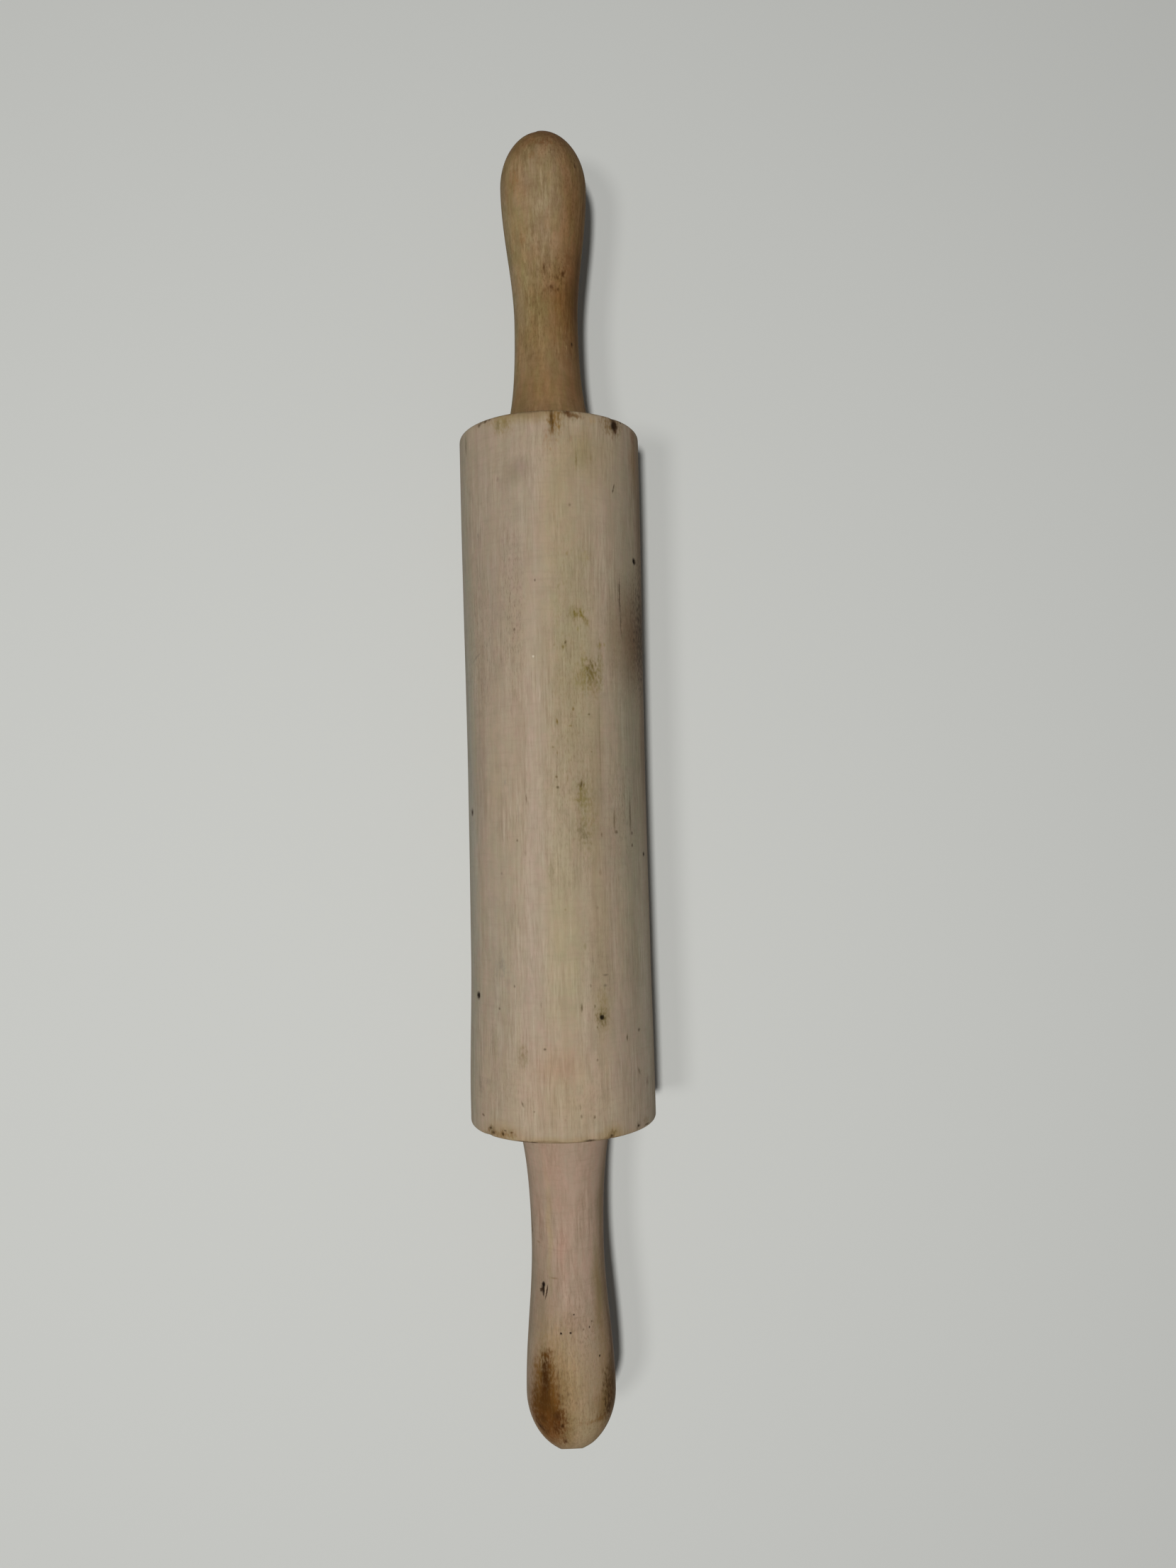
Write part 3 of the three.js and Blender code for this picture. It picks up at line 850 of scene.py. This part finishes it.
# pale handle: fresher wood that shows a pink heart band, a split knot, pin holes,
# and scorched oil stains on the bulb
palePlace = {"zero": paleHigh.y, "way": -1, "radius": 13, "rimAt": 0}
paleShape = {
    "material": "bare turned hardwood with pink heart",
    "length": (paleHigh.y - paleLow.y) / mm,
    "neckRadius": 15.4,
    "flareLength": 14.5,
    "waistRadius": 11.9,
    "waistAt": 39,
    "bulbRadius": 14.7,
    "bulbAt": 87.5,
    "tipRadius": 5.4,
    "tipTaper": 0.59,
    "tipCut": 1.4,
    "tipSteps": 34,
    "tipChip": {"side": 1, "from": 0.5, "depth": 0.2},
    "tipSlice": {"tilt": 29, "at": 93.8},
    "step": 0.65,
    "sides": 144,
}
paleTints = [
    (10, -22, 30, 8, 0, "#a3806f", 0.3),
    (16, -14, 22, 4, 0, "#a17c6c", 0.25),
    (39, -9, 28, 4.8, 0, "#a68372", 0.45),
    (28, -46, 18, 4, 0, "#9d7c6c", 0.4),
    (34, -30, 50, 3, 0, "#9d8966", 0.5),
    (58, -42, 48, 14, 0, "#80705a", 0.65),
    (54, 51, 44, 8, 0, "#776641", 0.75),
    (50, -72, 110, 7, 0, "#857c6c", 0.6),
    (50, 70, 100, 6, 0, "#6b5638", 0.6),
    (24, 62, 30, 7, 0, "#77664c", 0.55),
    (94, -8, 13, 6, 0, "#957c56", 0.4),
    (84, -8, 56, 34, 0, "#937d5a", 0.7),
    (80, -22, 44, 18, 0, "#957b4c", 0.45),
    (84, 52, 44, 10, 0, "#7d633a", 0.65),
    (88, 45, 15, 7, 0, "#6f542b", 0.7),
    (98, 4, 22, 50, 0, "#87704b", 0.7),
    (96, 20, 20, 11, 0, "#9d8a6e", 0.7),
    (85, -36, 34, 18, 0, "#5f3e16", 0.95),
    (95, -37, 18, 14, 0, "#6b4a27", 0.88),
    (84, 66, 34, 8, 0, "#634a2c", 0.75),
    (70, 74, 24, 5, 0, "#5a4230", 0.6),
    (50, 150, 80, 22, 0, "#86725c", 0.5),
    (85, 160, 24, 16, 0, "#5d4023", 0.7),
]
paleFleckZones = [
    (60, 10, 130, 50, 0, "#7d6650", 0.16),
    (50, 180, 130, 60, 0, "#7a6650", 0.25),
    (50, -180, 130, 60, 0, "#7a6650", 0.25),
    (66, 20, 40, 20, 0, "#69533f", 0.3),
    (86, -32, 40, 22, 0, "#432608", 0.7),
    (92, 30, 20, 16, 0, "#6f5130", 0.35),
]
paleStains = [
    (78.6, -34, 19, 5.4, 0, "#4b2d0a", 1),
    (76.6, -33.4, 15, 4.2, 0, "#402407", 1),
    (86, -37, 11, 11, 0, "#54330d", 1),
    (88.6, -33, 9, 13, 0, "#5a3811", 1),
    (89.4, -19, 8, 6, 0, "#4e2e0b", 1),
    (92.4, -30, 9, 12, 0, "#583310", 0.95),
    (91.4, -47, 10, 9, 0, "#58360f", 0.95),
    (87, -53, 8, 5, 0, "#5d3c17", 0.85),
    (84, -50, 7, 3, 0, "#5a3a14", 0.8),
    (75.4, -52, 5, 2.6, 0, "#6b4d20", 0.75),
    (78, -45, 12, 3, 0, "#6b4a1e", 0.75),
    (76, -26, 14, 3, 0, "#6b4a20", 0.65),
    (84, -23, 16, 4, 0, "#664418", 0.75),
    (96.8, -34, 9, 9, 0, "#6b431c", 0.7),
    (95.4, -44, 4, 5, 0, "#43270c", 0.85),
    (93.6, -21, 5, 4, 0, "#47290d", 0.9),
    (94, -50, 5, 3.6, 0, "#4d3015", 0.85),
    (98.4, -11, 3.4, 2, 0, "#4d2c12", 0.9),
    (70.8, -35, 4, 4, 0, "#5d3c14", 0.85),
    (85, 63, 18, 7, 0, "#4a3114", 0.95),
    (83, 51, 12, 4, 0, "#4a361c", 0.85),
    (90, 55, 8, 6, 0, "#3f2a14", 0.95),
    (91.6, 43, 3, 5, 0, "#664522", 0.9),
    (92, 30, 1.8, 10, 0, "#7a5a34", 0.65),
]
paleMarks = [
    (51.4, -43, 3.6, 1.7, 14, "#150b04", 0.98, 0.9),
    (49.9, -42, 2.2, 1.5, -10, "#150b04", 0.97, 0.6),
    (51.8, -46.6, 1.2, 1.6, 0, "#2d1c0c", 0.85, 0.4),
    (52.8, -41, 1.6, 1, 0, "#241407", 0.85),
    (51.9, -35.6, 5, 0.6, -12, "#2d1a0a", 0.95, 0.4),
    (51.8, -38.6, 3.6, 0.7, -8, "#b7a48a", 0.55),
    (47.2, -23, 0.7, 3, 0, "#7a6246", 0.6),
    (63.9, -12.6, 0.8, 0.8, 0, "#1f1208", 0.98, 0.4),
    (63.7, 0.6, 0.8, 0.8, 0, "#291b12", 0.94, 0.3),
    (58.2, 6.1, 0.6, 0.6, 0, "#33241a", 0.9, 0.2),
    (62.8, 28.6, 0.8, 0.6, 0, "#332418", 0.85, 0.2),
    (61.3, 32.4, 0.9, 0.7, 0, "#4a3a2a", 0.75),
    (63.1, 18.9, 0.8, 0.7, 0, "#66543f", 0.75),
    (66, 22, 0.8, 0.6, 0, "#75624c", 0.6),
    (72.5, 42, 0.8, 0.7, 0, "#1f1208", 0.96, 0.3),
    (79.4, -34.4, 15, 4.4, 0, "#351c04", 0.42),
    (86.4, -35, 7, 5, 0, "#3a2005", 0.4),
    (89.2, -19, 3.6, 2.6, 0, "#371d05", 0.7),
    (91, -40, 4, 3, 0, "#3d2208", 0.6),
    (92.4, -13, 1.8, 1.4, 0, "#2f1a05", 0.8),
    (98.6, -11, 1.6, 0.8, 0, "#3d210c", 0.85),
    (94.8, -50, 1.4, 1.6, 0, "#2d1a0a", 0.85),
    (34.1, -77.6, 3.6, 2.6, 0, "#564534", 0.65, 0.5),
    (37.1, -53.6, 1, 2.6, 0, "#7c654b", 0.55),
    (66, 110, 5, 1.8, 0, "#3a2612", 0.85, 0.4),
]
paleWood = {
    "base": "#9b8674",
    "figure": [
        (8, 70, 3, 0.42, 0.62, "#8f7e68", 0.45),
        (6, 60, 3, 0.46, 0.66, "#a28877", 0.45),
        (3, 10, 4, 0.42, 0.68, "#87745f", 0.36),
        (2.6, 6, 3, 0.44, 0.62, "#a38473", 0.26),
        (2.4, 6, 3, 0.44, 0.62, "#918570", 0.26),
        (7, 1.1, 3, 0.48, 0.74, "#84715d", 0.28),
        (1.1, 20, 3, 0.42, 0.68, "#b09b87", 0.34),
        (0.75, 9, 3, 0.42, 0.68, "#78644f", 0.42),
        (0.5, 2.8, 2, 0.46, 0.72, "#6b5642", 0.22),
    ],
    "fleckSize": (0.42, 1.3),
    "pith": (26, -20),
    "ringWidth": 2.4,
    "rings": (0.1, 0.45),
    "ringTint": "#7c6753",
    "endTint": "#7a5f42",
    "tints": paleTints,
    "fleckZones": paleFleckZones,
    "stains": paleStains,
    "marks": paleMarks,
    "roughness": (0.7, 0.88),
    "specular": 0.07,
}
makeHandle("pale_handle_turned", paleShape, palePlace, handleWear, paleWood,
           "pale_handle")

# axle: a planed hardwood dowel, bare and clean because nothing reaches it
axlePlace = {"zero": barrelMiddle, "way": 1, "radius": 6, "rimAt": 0}
axleWood = {
    "base": "#a8946f",
    "figure": [
        (4, 120, 2, 0.44, 0.66, "#9b8660", 0.5),
        (1.4, 40, 2, 0.46, 0.7, "#b7a481", 0.4),
        (0.5, 10, 3, 0.42, 0.72, "#8d7853", 0.45),
        (0.5, 3, 2, 0.64, 0.78, "#725d3c", 0.5),
    ],
    "fleckSize": (0.5, 1.5),
    "pith": (20, 9),
    "ringWidth": 1.8,
    "rings": (0.12, 0.45),
    "ringTint": "#8a734d",
    "endTint": "#8f7850",
    "tints": [],
    "fleckZones": [],
    "stains": [],
    "marks": [],
    "roughness": (0.7, 0.85),
    "specular": 0.3,
}
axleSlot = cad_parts["axle_rod"].material_slots[0]
axleSlot.material = turnedWood("planed dowel", axleWood, axlePlace)
print("axle given its dowel wood")

# floor and light
studio = {
    "floorColour": "#c3c4c0",
    "floorHalf": 1.6,  # metres
    "floorRoughness": 0.9,
    "floorSpecular": 0.2,
    "keyLevel": 0.76,  # 1 renders a colour as it is written
    "keyPlace": (-0.13, -0.1, 1.2),
    "keySize": 0.1,
    "sideLevel": 0.18,
    "sidePlace": (-0.45, -0.15, 1.2),
    "sideSize": 0.22,
    "worldLevel": 0.1,
}
bm = bmesh.new()
bmesh.ops.create_grid(bm, x_segments=1, y_segments=1, size=studio["floorHalf"])
floorMesh = bpy.data.meshes.new("floor")
bm.to_mesh(floorMesh)
bm.free()
floor = bpy.data.objects.new("floor", floorMesh)
scene.collection.objects.link(floor)
floorPaint = bpy.data.materials.new("matt painted board")
floorPaint.use_nodes = True
paint = floorPaint.node_tree.nodes["Principled BSDF"]
paint.inputs["Base Color"].default_value = linearColour(studio["floorColour"])
paint.inputs["Roughness"].default_value = studio["floorRoughness"]
paint.inputs["Specular IOR Level"].default_value = studio["floorSpecular"]
floorMesh.materials.append(floorPaint)

for name in ("key", "side"):
    lamp = bpy.data.lights.new(name + "_lamp", "AREA")
    lamp.shape = "DISK"
    lamp.size = studio[name + "Size"]
    place = Vector(studio[name + "Place"])
    lamp.energy = studio[name + "Level"] * (math.pi * place.length) ** 2
    lampObject = bpy.data.objects.new(name + "_lamp", lamp)
    lampObject.location = place
    lampObject.rotation_euler = place.to_track_quat("Z", "Y").to_euler()
    scene.collection.objects.link(lampObject)
world = bpy.data.worlds.new("studio")
world.use_nodes = True
world.node_tree.nodes["Background"].inputs["Color"].default_value = (1, 1, 1, 1)
world.node_tree.nodes["Background"].inputs["Strength"].default_value = studio["worldLevel"]
scene.world = world
print("floor and lights placed")
